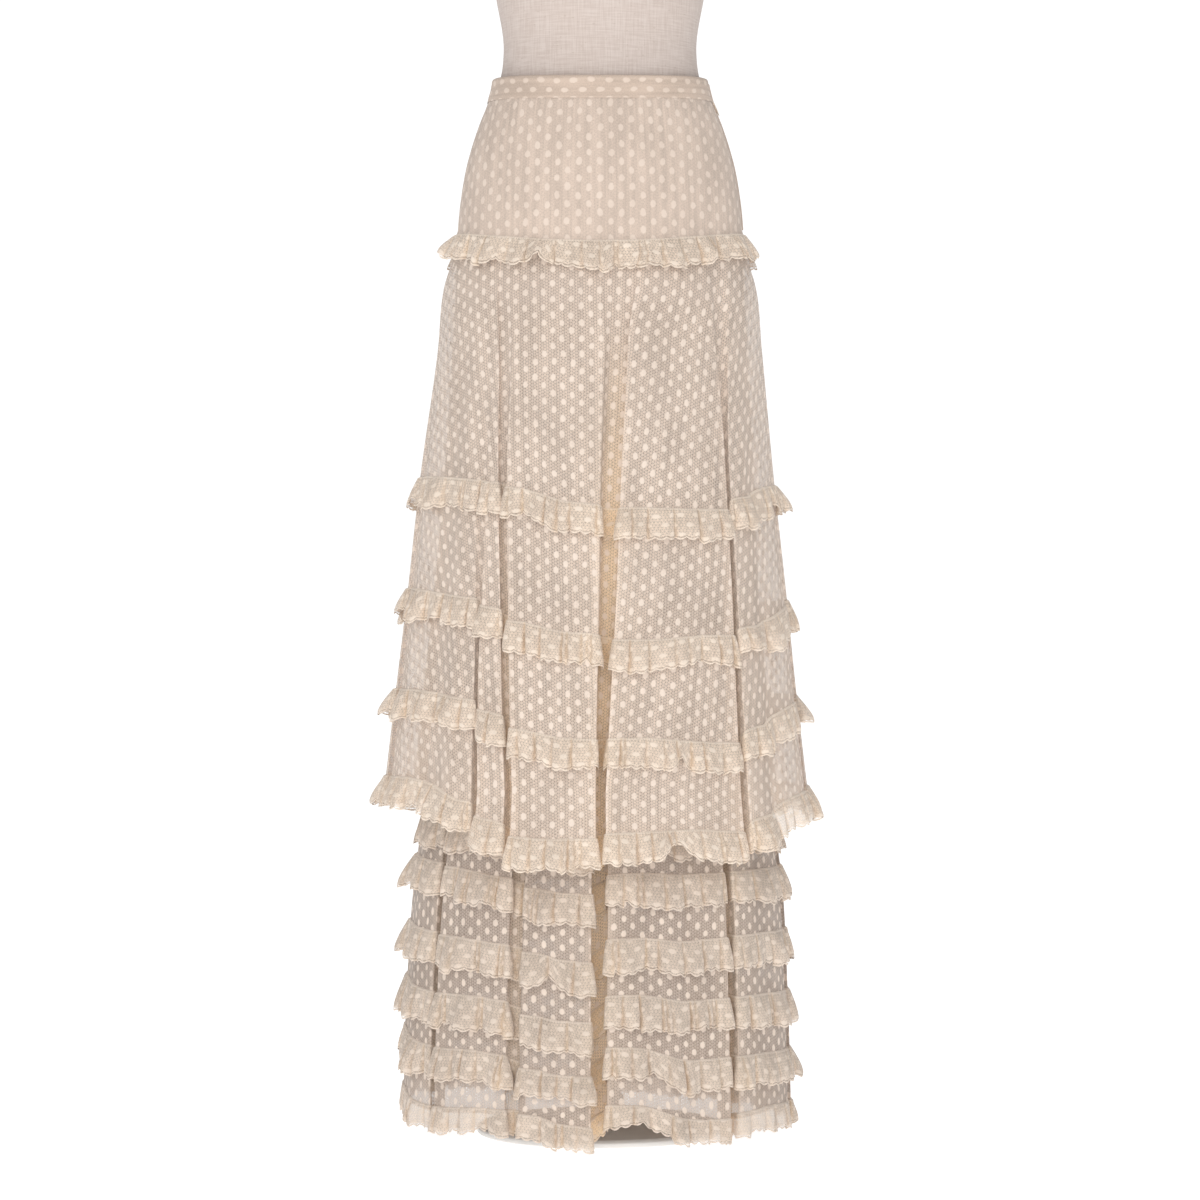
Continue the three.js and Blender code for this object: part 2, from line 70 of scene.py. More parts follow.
class Wire:
    """A value in a material. Sums on it add Math nodes, and node adds any other."""

    def __init__(self, tree, socket=None):
        self.tree = tree
        self.socket = socket

    def node(self, kind, settings=None, inputs=None, output=0):
        made = self.tree.nodes.new(kind)
        for name, value in (settings or {}).items():
            setattr(made, name, value)
        for name, value in (inputs or {}).items():
            if isinstance(value, Wire):
                self.tree.links.new(value.socket, made.inputs[name])
            else:
                made.inputs[name].default_value = value
        return Wire(self.tree, made.outputs[output])

    def math(self, operation, *values):
        return self.node("ShaderNodeMath", {"operation": operation}, dict(enumerate(values)))

    def __add__(self, other):
        return self.math("ADD", self, other)

    __radd__ = __add__

    def __sub__(self, other):
        return self.math("SUBTRACT", self, other)

    def __rsub__(self, other):
        return self.math("SUBTRACT", other, self)

    def __mul__(self, other):
        return self.math("MULTIPLY", self, other)

    __rmul__ = __mul__

    def __truediv__(self, other):
        return self.math("DIVIDE", self, other)

    def __pow__(self, other):
        return self.math("POWER", self, other)

    def __abs__(self):
        return self.math("ABSOLUTE", self)

    def sine(self):
        return self.math("SINE", self)

    def from_middle(self, pitch):
        """The way to the middle of the lattice's nearest cell, where cells are one pitch wide."""
        cell = self / pitch
        return (cell.math("FRACT", cell) - 0.5) * pitch

    def most(self, other):
        return self.math("MAXIMUM", self, other)

    def least(self, other):
        return self.math("MINIMUM", self, other)

    def ramp(self, start, end):
        """0 at start and 1 at end, soft at both."""
        settings = {"interpolation_type": "SMOOTHSTEP"}
        return self.node("ShaderNodeMapRange", settings, {"Value": self, "From Min": start, "From Max": end})

    def mix(self, low, high):
        """The colour low where this is 0, and high where it is 1."""
        return self.node("ShaderNodeMix", {"data_type": "RGBA"}, {0: self, 6: low, 7: high}, 2)


def finish_of(name):
    """A new material, with its shader and a wire to grow its nodes from."""
    made = bpy.data.materials.new(name)
    made.use_nodes = True
    shader = made.node_tree.nodes["Principled BSDF"]
    return made, shader, Wire(made.node_tree)


def feed(shader, values):
    """Sets or links a shader's sockets."""
    for name, value in values.items():
        if isinstance(value, Wire):
            value.tree.links.new(value.socket, shader.inputs[name])
        else:
            shader.inputs[name].default_value = value


def srgb(red, green, blue):
    """A colour as it looks in a photograph, from 0 to 255, made linear for a socket."""
    return (*[((c / 255 + 0.055) / 1.055) ** 2.4 for c in (red, green, blue)], 1.0)


floor = bmesh.new()
bmesh.ops.create_circle(floor, cap_ends=True, segments=64, radius=60)
floor_mesh = bpy.data.meshes.new("floor")
floor.to_mesh(floor_mesh)
floor.free()
paper, paper_shader, _ = finish_of("paper")
feed(paper_shader, {"Base Color": (0.86, 0.86, 0.86, 1), "Roughness": 0.9})
feed(paper_shader, {"Emission Color": (1, 1, 1, 1), "Emission Strength": 0.85})
floor_mesh.materials.append(paper)
floor_object = bpy.data.objects.new("floor", floor_mesh)
bpy.context.scene.collection.objects.link(floor_object)

world = bpy.data.worlds.new("white_air")
world.use_nodes = True
bpy.context.scene.world = world
air = Wire(world.node_tree)
seen = air.node("ShaderNodeLightPath", output=0)
glow = world.node_tree.nodes["Background"]
glow.inputs["Color"].default_value = (1, 1, 1, 1)
world.node_tree.links.new((0.41 + 0.69 * seen).socket, glow.inputs["Strength"])
bpy.context.scene.view_settings.view_transform = "Standard"


# The dress form's torso: a hard shell with no limbs, covered in pale greyish linen that is pulled smooth
# and sewn at both sides. Sizes are in millimetres, and angles in degrees from the front towards +X.
FORM = {
    868: (138, 96, 104), 880: (148, 104, 114), 960: (155, 109, 120), 1025: (151, 106, 116),
    1075: (141, 99, 107), 1105: (130, 92, 98), 1135: (117, 84, 88), 1160: (109, 79, 82),
    1190: (106, 77, 79), 1245: (114, 83, 82), 1300: (124, 90, 88), 1340: (131, 95, 93),
    1380: (137, 97, 97), 1420: (143, 93, 98), 1460: (151, 85, 94), 1495: (159, 76, 87),
    1520: (162, 68, 79), 1537: (153, 62, 72), 1552: (131, 58, 66), 1566: (103, 55, 61),
    1582: (78, 52, 57), 1602: (62, 50, 54), 1640: (55, 49, 52),
}


def bell(x):
    return np.exp(-x * x)


def read(table, column, value):
    """A column of a table at some heights or angles, smooth from row to row."""
    at = np.array(sorted(table), float)
    there = np.array([table[key][column] for key in sorted(table)], float)
    slope = np.gradient(there, at)
    value = np.clip(value, at[0], at[-1])
    k = np.clip(np.searchsorted(at, value, side="right") - 1, 0, len(at) - 2)
    span = at[k + 1] - at[k]
    t = (value - at[k]) / span
    low = (1 + 2 * t) * (1 - t) ** 2 * there[k] + t * (1 - t) ** 2 * span * slope[k]
    high = t * t * (3 - 2 * t) * there[k + 1] + t * t * (t - 1) * span * slope[k + 1]
    return low + high


def form_place(angle, z, out=0.0):
    """Places on the form at angles and heights, moved out from it."""
    turn = np.radians(angle)
    away = np.abs((angle + 180) % 360 - 180)
    mound = 13 * bell((away - 29) / 18) * bell((z - 1372) / 52)
    side = read(FORM, 0, z)
    deep = np.where(np.cos(turn) > 0, read(FORM, 1, z) + mound, read(FORM, 2, z))
    across, along = deep * np.sin(turn), side * np.cos(turn)
    size = np.hypot(across, along)
    x = side * np.sin(turn) + out * across / size
    y = -deep * np.cos(turn) - out * along / size
    return np.stack(np.broadcast_arrays(x, y, z), axis=-1)


def run_of(places):
    """The length along each row of places, from its first one."""
    steps = np.linalg.norm(np.diff(places, axis=1), axis=2)
    return np.concatenate([np.zeros((len(places), 1)), np.cumsum(steps, axis=1)], axis=1)


def surface(name, places, maps, finish, closed=False):
    """A surface from rows of places in millimetres, lowest row first, with UV maps in metres."""
    rows, columns = places.shape[:2]
    grid = bmesh.new()
    bmesh.ops.create_grid(grid, x_segments=columns - 1, y_segments=rows - 1, size=0.5)
    mesh = bpy.data.meshes.new(name)
    grid.to_mesh(mesh)
    grid.free()
    mesh.vertices.foreach_set("co", (places / 1000).reshape(-1))
    corners = np.empty(len(mesh.loops), int)
    mesh.loops.foreach_get("vertex_index", corners)
    for title, (across, up) in maps.items():
        pair = np.stack([np.broadcast_to(part, (rows, columns)) for part in (across, up)], axis=-1) / 1000
        mesh.uv_layers.new(name=title).uv.foreach_set("vector", pair.reshape(-1, 2)[corners].reshape(-1))
    if closed:
        seam = bmesh.new()
        seam.from_mesh(mesh)
        bmesh.ops.remove_doubles(seam, verts=seam.verts, dist=2e-6)
        bmesh.ops.dissolve_degenerate(seam, edges=seam.edges, dist=1e-7)
        seam.to_mesh(mesh)
        seam.free()
    mesh.shade_smooth()
    mesh.materials.append(finish)
    piece = bpy.data.objects.new(name, mesh)
    bpy.context.scene.collection.objects.link(piece)
    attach(piece, "root")
    return piece


def parts_of(place):
    """The first two parts of a vector, in millimetres where the vector is in metres."""
    parts = place.node("ShaderNodeSeparateXYZ", inputs={0: place})
    return parts * 1000, Wire(parts.tree, parts.socket.node.outputs[1]) * 1000


def grain_of(wire, across, up, width, length, detail=2.0):
    """Noise in grains of a width and a length in millimetres."""
    where = wire.node("ShaderNodeCombineXYZ", inputs={0: across / width, 1: up / length})
    settings = {"noise_dimensions": "2D"}
    return wire.node("ShaderNodeTexNoise", settings, {"Vector": where, "Scale": 1.0, "Detail": detail})


linen, linen_shader, start = finish_of("linen")
cross, height = parts_of(start.node("ShaderNodeUVMap", {"uv_map": "cloth"}))
weft = grain_of(start, cross, height, 26, 1.5)
warp = grain_of(start, cross, height, 1.5, 26)
fleck = grain_of(start, cross, height, 4.5, 2.2, 0.0).ramp(0.80, 0.86)
mottle = grain_of(start, cross, height, 90, 120)
slub = 0.5 * weft + 0.5 * warp
linen_tone = slub.ramp(0.30, 0.70).mix(srgb(186, 172, 165), srgb(204, 193, 187))
linen_tone = (0.4 * mottle).mix(linen_tone, srgb(198, 183, 172))
linen_tone = (0.3 * fleck).mix(linen_tone, srgb(158, 140, 126))
THREADS = 3.9  # radians of weave to a millimetre
threads = (cross * THREADS).sine() * (height * THREADS).sine()
linen_relief = slub + 0.25 * threads
linen_bump = start.node("ShaderNodeBump", inputs={"Strength": 0.35, "Distance": 0.0004, "Height": linen_relief})
feed(linen_shader, {"Base Color": linen_tone, "Roughness": 0.9, "Normal": linen_bump})
feed(linen_shader, {"Specular IOR Level": 0.25, "Sheen Weight": 0.15})

FORM_FOOT, FORM_NECK = min(FORM), max(FORM)
COLUMNS = 192
angles = np.linspace(-180, 180, COLUMNS + 1)
foot_rim = [FORM_FOOT, FORM_FOOT + 0.4, FORM_FOOT + 1.6, FORM_FOOT + 3.5]
neck_rim = [FORM_NECK - 1.6, FORM_NECK - 0.4, FORM_NECK]
levels = np.concatenate([foot_rim, np.linspace(FORM_FOOT + 6, FORM_NECK - 4, 150), neck_rim])
shell = form_place(angles[None, :], levels[:, None])
lids = []
for level, shares in ((FORM_FOOT, (0.0, 0.35, 0.7, 0.95)), (FORM_NECK, (0.93, 0.6, 0.3, 0.0))):
    ring = form_place(angles[None, :], np.array([[float(level)]]))
    lids.append(np.concatenate([ring * [share, share, 1] for share in shares]))
rim_turn = np.clip((FORM_FOOT + 4.5 - levels) / 4.5, 0, 1)[:, None, None]
shell[..., :2] *= 1 - 0.03 * rim_turn**2
torso = np.concatenate([lids[0], shell, lids[1]])
girth = run_of(torso)
front_column = COLUMNS // 2
torso_map = (girth - girth[:, front_column : front_column + 1], torso[..., 2])
form_cover = surface("form_cover", torso, {"cloth": torso_map}, linen, closed=True)
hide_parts("form_torso")


# The neck cap is turned from beech, sanded and varnished satin. It closes the neck of the form.
def turned_piece(name, profile, finish, rounding, steps=96):
    """A piece turned on a lathe, from its profile of radius and height, with its corners rounded."""
    shape = bmesh.new()
    points = [shape.verts.new((radius / 1000, 0, z / 1000)) for radius, z in profile]
    lines = [shape.edges.new(pair) for pair in zip(points, points[1:])]
    bmesh.ops.bevel(
        shape, geom=points[1:-1], offset=rounding / 1000, offset_type="OFFSET", affect="VERTICES",
        segments=3, profile=0.5, material=-1, clamp_overlap=True,
    )
    bmesh.ops.spin(
        shape, geom=shape.verts[:] + shape.edges[:], cent=(0, 0, 0), axis=(0, 0, 1),
        angle=math.tau, steps=steps, use_merge=True,
    )
    bmesh.ops.remove_doubles(shape, verts=shape.verts, dist=1e-6)
    bmesh.ops.recalc_face_normals(shape, faces=shape.faces)
    mesh = bpy.data.meshes.new(name)
    shape.to_mesh(mesh)
    shape.free()
    mesh.shade_smooth()
    mesh.materials.append(finish)
    piece = bpy.data.objects.new(name, mesh)
    bpy.context.scene.collection.objects.link(piece)
    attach(piece, "root")
    return piece


beech, beech_shader, start = finish_of("beech")
spot = start.node("ShaderNodeTexCoord", output=3)
wood_x, wood_y = parts_of(spot)
figure = grain_of(start, wood_x, wood_y, 70, 3.2, 4.0)
pore = grain_of(start, wood_x, wood_y, 9, 0.5, 1.0).ramp(0.62, 0.72)
beech_tone = figure.ramp(0.32, 0.68).mix(srgb(190, 152, 112), srgb(221, 188, 149))
beech_tone = (0.4 * pore).mix(beech_tone, srgb(150, 108, 74))
feed(beech_shader, {"Base Color": beech_tone, "Roughness": 0.38 + 0.12 * figure, "Coat Weight": 0.25})
cap_profile = [
    (0, 1640.3), (50, 1640.3), (53, 1644.3), (53, 1652.3), (44, 1658.3), (16, 1662.3), (0, 1663.3),
]
neck_cap = turned_piece("neck_cap", cap_profile, beech, 2.4)
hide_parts("form_neck_cap")


# The stand: a steel tube in the form's foot, and a heavy round plate with a hub that it screws into. Both
# are powder coated off-white, with a fine orange-peel skin.
steel, steel_shader, start = finish_of("painted_steel")
spot = start.node("ShaderNodeTexCoord", output=3)
peel = start.node("ShaderNodeTexNoise", inputs={"Vector": spot, "Scale": 900.0, "Detail": 1.0})
scuff = start.node("ShaderNodeTexNoise", inputs={"Vector": spot, "Scale": 14.0, "Detail": 6.0})
coat = start.node("ShaderNodeBump", inputs={"Strength": 0.15, "Distance": 0.0003, "Height": peel})
steel_tone = scuff.ramp(0.35, 0.75).mix(srgb(250, 249, 247), srgb(243, 241, 238))
feed(steel_shader, {"Base Color": steel_tone, "Roughness": 0.36 + 0.2 * scuff, "Normal": coat})
pole = turned_piece("stand_pole", [(0, 46.3), (12.5, 46.3), (12.5, 867.7), (0, 867.7)], steel, 0.6, 40)
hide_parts("form_pole")
base_profile = [
    (0, 0), (133, 0), (135, 2), (135, 7), (131, 10), (30, 14), (26, 18), (26, 40), (20, 46), (0, 46),
]
base = turned_piece("stand_base", base_profile, steel, 1.2, 128)
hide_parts("form_base")


# The waistband: a strip of the dotted tulle cut across the cloth, turned over at its top and sewn down, so
# it is two layers thick and its dots lie on their sides. It stands a little off the form.
def flock_dots(wire, across, up, wide, tall):
    """1 on the small raised oval dots of the tulle, from half their width and height in millimetres. They lie
    in a lattice of 20.6 by 16.5 mm with one more in each middle."""
    wander = grain_of(wire, across, up, 24, 24, 0.0) - 0.5
    stray = grain_of(wire, up, across, 19, 27, 0.0) - 0.5
    ragged = grain_of(wire, across, up, 1.6, 1.6, 1.0) - 0.5
    u = across + 3.0 * wander
    v = up + 3.0 * stray
    pitch_across, pitch_up = 20.6, 16.5
    masks = []
    for shift in (0.0, 0.5):
        x = (u + shift * pitch_across).from_middle(pitch_across)
        y = (v + shift * pitch_up).from_middle(pitch_up)
        across_dot = x / (wide - 0.07 * y)
        up_dot = y / tall
        masks.append((across_dot * across_dot + up_dot * up_dot + 0.7 * ragged).ramp(1.5, 0.6))
    return masks[0].most(masks[1])


def toned(colour, share):
    """A photograph's colour, a share as bright."""
    return srgb(*[min(c * share, 255) for c in colour])


def tulle_of(name, net, dot, veil, mesh, edged=False):
    """Dotted tulle: threads of a colour with holes between, and denser, lighter dots. veil is its opacity, and
    mesh how open its holes are. edged adds the ruffles' stitched top and their corded picot edge.

    The map marks holds how near a fold's turned edge the cloth is and how deep in its hollow, from 0 to 1, or
    on a ruffle the millimetres from its stitches and from its lower edge. Folds holds tucks and hollows."""
    made, shader, wire = finish_of(name)
    across, up = parts_of(wire.node("ShaderNodeUVMap", {"uv_map": "cloth"}))
    first, second = parts_of(wire.node("ShaderNodeUVMap", {"uv_map": "marks"}))
    dots = flock_dots(wire, across, up, 2.4, 3.7) if edged else flock_dots(wire, across, up, 2.8, 3.6)
    wale = grain_of(wire, up, across, 3.5, 30, 2.0) if edged else grain_of(wire, across, up, 5.5, 120, 2.5)
    cloud = grain_of(wire, across, up, 38, 60, 3.0)
    speck = grain_of(wire, across, up, 1.5, 1.5, 1.0)
    slack = 1.6 * (grain_of(wire, across, up, 14, 14, 0.0) - 0.5)
    mesh_turns = 1.08  # radians to a millimetre, for holes 2.9 mm apart
    ridges = []
    for turn in (0, 60, 120):
        c, s = math.cos(math.radians(turn)), math.sin(math.radians(turn))
        ridge = across * (mesh_turns * c) + up * (mesh_turns * s) + slack
        ridges.append(abs(ridge.sine()).ramp(0.0, 0.9))
    holes = ridges[0] * ridges[1] * ridges[2]
    dense = 0.42 * wale.ramp(0.3, 0.7) + 0.28 * speck.ramp(0.3, 0.7) + 0.3 * cloud.ramp(0.3, 0.7)
    fine = veil + 0.22 * (dense - 0.5) - 0.55 * mesh * holes
    uneven = 0.05 if edged else 0.028
    tone = dense.mix(toned(net, 1 - uneven), toned(net, 1 + uneven))
    tone = (0.5 * mesh * holes).mix(tone, toned(net, 0.84))
    raised = dots * (0.76 + 0.24 * cloud.ramp(0.35, 0.65))
    if edged:
        stitch_loops = (up * 2.1).sine().ramp(-0.9, 0.3)
        stitches = first.ramp(2.4, 1.5) * (0.6 + 0.4 * stitch_loops)
        cord = second.ramp(1.9, 1.2) * (0.5 + 0.5 * speck.ramp(0.3, 0.6))
        bow = abs((up * 0.571).sine())
        lace = abs(second - 3.4 - 1.5 * bow).ramp(1.0, 0.3) * (0.3 + 0.7 * speck.ramp(0.35, 0.6))
        eyelet = abs(second - 2.7).ramp(1.1, 0.4) * (0.4 + 0.6 * bow)
        raised = raised.most((cord + 0.55 * lace).least(1.0)).most(stitches)
        fine = fine - 0.4 * eyelet
        tone = (0.25 * eyelet).mix(tone, srgb(196, 174, 150))
        tuck, hollow = parts_of(wire.node("ShaderNodeUVMap", {"uv_map": "folds"}))
        # Painted shade: in the tucks the tone darkens to a deeper gold and the dots dim. This is partly the
        # tulle lying in layers there and partly shade in the tuck.
        shade = 0.5 * tuck
        tone = shade.mix(tone, srgb(198, 166, 126))
        # Painted light: where the ruffle dips into a deep pleat's hollow its tone turns a lighter gold,
        # standing in for light bouncing inside the fold.
        tone = (0.85 * hollow).mix(tone, srgb(255, 229, 194))
        tone = (0.72 * raised * (1 - 0.6 * shade)).mix(tone, srgb(*dot))
    else:
        # Near a pleat's turned edge the cloth is denser, where it lies double, and lighter: a painted highlight
        # along the fold.
        fine = fine + 0.2 * first
        tone = (0.4 * first).mix(tone, toned(net, 1.05))
        # Painted light: deep in a pleat's hollow the tone turns a lighter gold, standing in for light that
        # passes through the tulle and bounces inside the fold.
        tone = (0.9 * second).mix(tone, srgb(254, 229, 197))
        tone = (0.9 * raised).mix(tone, srgb(*dot))
    fine = fine.least(1.0)
    alpha = fine + raised * (1.0 - fine)
    relief = 0.8 * raised + 0.35 * dense + 0.5 * wale
    bump = wire.node("ShaderNodeBump", inputs={"Strength": 0.45, "Distance": 0.0007, "Height": relief})
    feed(shader, {"Base Color": tone, "Alpha": alpha, "Roughness": 0.92, "Normal": bump})
    feed(shader, {"Specular IOR Level": 0.15, "Sheen Weight": 0.2, "Sheen Roughness": 0.6})
    return made


dotted_tulle = tulle_of("dotted_tulle", (221, 203, 188), (229, 214, 201), 0.80, 0.8)
yoke_tulle = tulle_of("yoke_tulle", (210, 192, 178), (220, 204, 191), 0.88, 0.15)
band_tulle = tulle_of("band_tulle", (199, 180, 165), (220, 203, 189), 0.95, 0.06)


def frontness(angle):
    return np.clip(np.cos(np.radians(angle)), 0, 1) ** 2


def waist_seam(angle):
    return 1131 - 6 * frontness(angle)


def hip_seam(angle):
    return 985 - 16 * frontness(angle)


band_columns = 360
angles = np.linspace(-180, 180, band_columns + 1)
# How far up from the waist seam and how far off the form's slope, down inside, over the fold and up outside
band_profile = [
    (0.0, -0.6), (8.0, -1.1), (16.0, -0.9), (22.0, -1.3), (24.2, -1.1), (25.1, -0.2), (25.0, 0.7),
    (23.6, 1.35), (20.0, 1.1), (13.0, 0.75), (6.0, 1.0), (1.4, 0.8), (0.0, 0.5),
]
band_height, band_ease, band_lean = 25, 4.6, 2.5
band_rows, band_run = [], [0.0]
for rise, off in band_profile:
    ripple = 0.35 * np.sin(np.radians(angles * 7 + 40)) * np.sin(np.radians(angles * 3))
    lean = band_ease + band_lean * rise / band_height + ripple
    band_rows.append(form_place(angles, waist_seam(angles) + rise, lean + off))
for low, high in zip(band_profile, band_profile[1:]):
    band_run.append(band_run[-1] + math.hypot(high[0] - low[0], high[1] - low[1]))
band_rows.reverse()
band_places = np.stack(band_rows)
band_round = run_of(band_places)
band_up = np.array(band_run[::-1])[:, None]
band_front = band_columns // 2
band_stretch = 1.145
band_map = (band_up - 1.0, (band_round - band_round[:, band_front : band_front + 1]) / band_stretch)
waistband = surface(
    "waistband_strip", band_places, {"cloth": band_map, "marks": (0.0, 0.0)}, band_tulle, closed=True
)
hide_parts("waistband")


# The yoke: two flat panels of the dotted tulle, cut close and stretched over the hips, so the form's linen
# shows through. They are sewn together at both sides.
def yoke_ease(z):
    return 2.0 + 2.6 * np.clip((z - 1075) / 56, 0, 1)


for name, node, middle in (("yoke_front_panel", "yoke_front", 0), ("yoke_back_panel", "yoke_back", 180)):
    angles = middle + np.linspace(-90, 90, 181)
    share = np.linspace(0, 1, 60)[:, None]
    z = hip_seam(angles) + share * (waist_seam(angles) - hip_seam(angles))
    pinch = 0.9 * bell((90 - np.abs(angles - middle)) / 0.7)
    lip = 1.8 * np.clip(1 - share / 0.05, 0, 1) ** 2
    places = form_place(angles[None, :], z, yoke_ease(z) + lip - pinch)
    run = run_of(places)
    run = run - run[:, 90:91]
    yoke_stretch = 1.12
    cloth = ((0.7 * run + 0.3 * run[24:25]) / yoke_stretch, (z - 1000) / yoke_stretch)
    panel = surface(name, places, {"cloth": cloth, "marks": (0.0, 0.0)}, yoke_tulle)
    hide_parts(node)


# The zip: an invisible one in the side seam at the viewer's right, closed. Its two folded lips meet over
# the teeth, and only the drop-shaped pull of its slider shows, just under the waistband's top.
lip_profile = [(-3.4, 0.0), (-2.9, 0.9), (-1.7, 1.35), (-0.6, 0.95), (0.0, 0.15), (0.6, 0.95), (1.7, 1.35),
               (2.9, 0.9), (3.4, 0.0)]
lip_levels = np.linspace(992, 1152, 60)
lip_places = np.zeros((60, 9, 3))
for row, level in enumerate(lip_levels):
    above_seam = level - waist_seam(90)
    lean = yoke_ease(level) if above_seam < 0 else band_ease + band_lean * above_seam / band_height + 1.0
    middle = form_place(np.array(90.0), np.array(level), lean)
    lip_places[row] = [(middle[0] + off, across, level) for across, off in lip_profile]
lip_map = (np.array([p[0] for p in lip_profile])[None, :] + 10, lip_levels[:, None] * 1.0)
zip_lips = surface("zip_lips", lip_places, {"cloth": lip_map, "marks": (0.0, 0.0)}, band_tulle)

pull = bmesh.new()
bmesh.ops.create_uvsphere(pull, u_segments=24, v_segments=16, radius=0.001)
for vert in pull.verts:
    x, y, z = vert.co * 1000
    vert.co = (0.1266 + 0.0011 * x - 0.0047 * z, 0.0026 * y * (1.1 - 0.42 * z), 1.1275 + 0.0105 * z)
pull_mesh = bpy.data.meshes.new("zip_pull")
pull.to_mesh(pull_mesh)
pull.free()
pull_mesh.shade_smooth()
enamel, enamel_shader, start = finish_of("zip_enamel")
spot = start.node("ShaderNodeTexCoord", output=3)
worn = start.node("ShaderNodeTexNoise", inputs={"Vector": spot, "Scale": 420.0, "Detail": 3.0})
enamel_tone = worn.ramp(0.4, 0.7).mix(srgb(233, 222, 208), srgb(219, 205, 188))
feed(enamel_shader, {"Base Color": enamel_tone, "Roughness": 0.3 + 0.2 * worn})
pull_mesh.materials.append(enamel)
zip_pull = bpy.data.objects.new("zip_pull", pull_mesh)
bpy.context.scene.collection.objects.link(zip_pull)
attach(zip_pull, "root")


# The overskirt: two flared panels of the dotted tulle that hang from the hip seam to the knee. The flare
# falls in deep soft pleats, whose turned edges nearly meet over the hollow between them.
OVERSKIRT = {
    985: (157.5, 111.4, 122.1, 0), 969: (159.5, 112.5, 124, 0), 930: (171, 124, 135, 0),
    860: (178, 138, 148, 0), 720: (194, 163, 170, -3), 590: (208, 184, 189, -3),
    480: (220, 197, 201, -4), 340: (236, 210, 213, -4), 290: (242, 215, 217, -4),
}
# Angle at the seam and at the hem, depth, half the gap between the edges, half the cloth's arc, growth
OVERSKIRT_PLEATS = [
    (-42, -34, 15, 3.4, 5.0, 2.2), (-40, -23.5, 18, 4.8, 5.4, 0.9), (10, 1.2, 36, 5.0, 10, 0.8),
    (48.5, 42.5, 18, 3.6, 10, 0.8), (82, 82, 7, 7, 7, 1.0), (119, 117, 16.5, 5.0, 10, 0.9),
    (148, 146, 21, 7.5, 11, 1.1), (178, 177, 26, 6.2, 11, 0.8), (209, 208, 19, 4.4, 10, 1.3),
    (243, 245, 17, 7.0, 11, 0.9), (278, 281, 8, 7, 8, 1.0),
]
# How far to the side and how deep the cloth lies, from the middle of a pleat to its end
PLEAT_SIDE = {0: (0,), 0.14: (0.95,), 0.28: (1.4,), 0.42: (1.48,), 0.56: (1.15,), 0.64: (1.0,),
              0.72: (1.12,), 0.82: (1.7,), 1: (3.0,)}
PLEAT_DEEP = {0: (1,), 0.14: (0.98,), 0.28: (0.85,), 0.42: (0.52,), 0.56: (0.17,), 0.64: (0.04,),
              0.72: (-0.02,), 0.82: (-0.03,), 1: (0,)}


def turned_to(angle):
    return (angle + 180) % 360 - 180


class Layer:
    """A hanging layer of the skirt, from its outline's table and its pleats."""

    def __init__(self, outline, pleats, top, seed, ripple):
        self.outline, self.pleats, self.top, self.ripple = outline, pleats, top, ripple
        fixed = [(a, a) for a in (-180, -90, 90, 180)]
        guides = sorted([(turned_to(h), turned_to(s)) for s, h, *_ in pleats] + fixed)
        self.hems = [hem for hem, _ in guides]
        self.drifts = [seam - hem for hem, seam in guides]
        dice = random.Random(seed)
        self.waves = [(dice.randint(9, 34), dice.uniform(0, 6.28), dice.uniform(0.3, 1.0)) for _ in range(7)]

    def columns(self, start, end):
        """Cloth angles from start to end, closer together in the pleats."""
        marks = set(np.arange(start, end + 0.1, 1.0).round(3))
        for _, hem, depth, _, span, _ in self.pleats:
            count = 30 if depth > 15 else 12
            for turn in (-360, 0, 360):
                near = hem + turn + span * np.linspace(-1, 1, 2 * count + 1)
                marks.update(near[(near > start) & (near < end)].round(3))
        ordered = sorted(marks)
        kept = [ordered[0]]
        kept += [b for b in ordered[1:-1] if b - kept[-1] > 0.08 and ordered[-1] - b > 0.08]
        return np.array(kept + [ordered[-1]])

    def place(self, cloth, z):
        """Places of the cloth at its angles and heights. Then, from 0 to 1, how far out of the pleats they are,
        how near a pleat's turned edge, and how deep in its hollow."""
        cloth, z = np.broadcast_arrays(cloth, z)
        down = np.clip((self.top - z) / (self.top - 384), 0, 1)
        angle = cloth + np.interp(turned_to(cloth), self.hems, self.drifts) * (1 - down)
        side = read(self.outline, 0, z)
        inward = np.zeros_like(z, float)
        free = np.ones_like(z, float)
        edge = np.zeros_like(z, float)
        hollow = np.zeros_like(z, float)
        for _, hem, depth, gap, span, growth in self.pleats:
            off = turned_to(cloth - hem)
            share = np.abs(off) / span
            deep = depth * down**growth
            folded = np.clip(deep / 9, 0, 1)
            folded = folded * folded * (3 - 2 * folded)
            width = np.radians(span) * side
            end = np.clip((share - 0.7) / 0.3, 0, 1) ** 2
            lies = gap * read(PLEAT_SIDE, 0, share) + (width - 3 * gap) * end
            slide = np.sign(off) * (lies - share * width) * folded / side
            angle = angle + np.where(share < 1, np.degrees(slide), 0)
            inward = inward + np.where(share < 1, deep * read(PLEAT_DEEP, 0, share), 0)
            inside = 1 - np.clip((share - 0.52) / 0.3, 0, 1)
            free = free * (1 - np.clip(deep / 16, 0, 1) * np.where(share < 1, inside, 0) * 0.88)
            edge = edge + bell((share - 0.7) / 0.09) * np.clip(deep / 22, 0, 1)
            hollow = hollow + bell(share / 0.5) * np.clip((deep - 8) / 14, 0, 1)
        for count, phase, size in self.waves:
            inward = inward + self.ripple * size * down * np.sin(np.radians(cloth) * count + phase)
        turn = np.radians(angle)
        front, back = read(self.outline, 1, z), read(self.outline, 2, z)
        deep = np.where(np.cos(turn) > 0, front, back)
        x = read(self.outline, 3, z) + (side - inward) * np.sin(turn)
        y = -(deep - inward) * np.cos(turn)
        return np.stack([x, y, z], axis=-1), free, edge, hollow


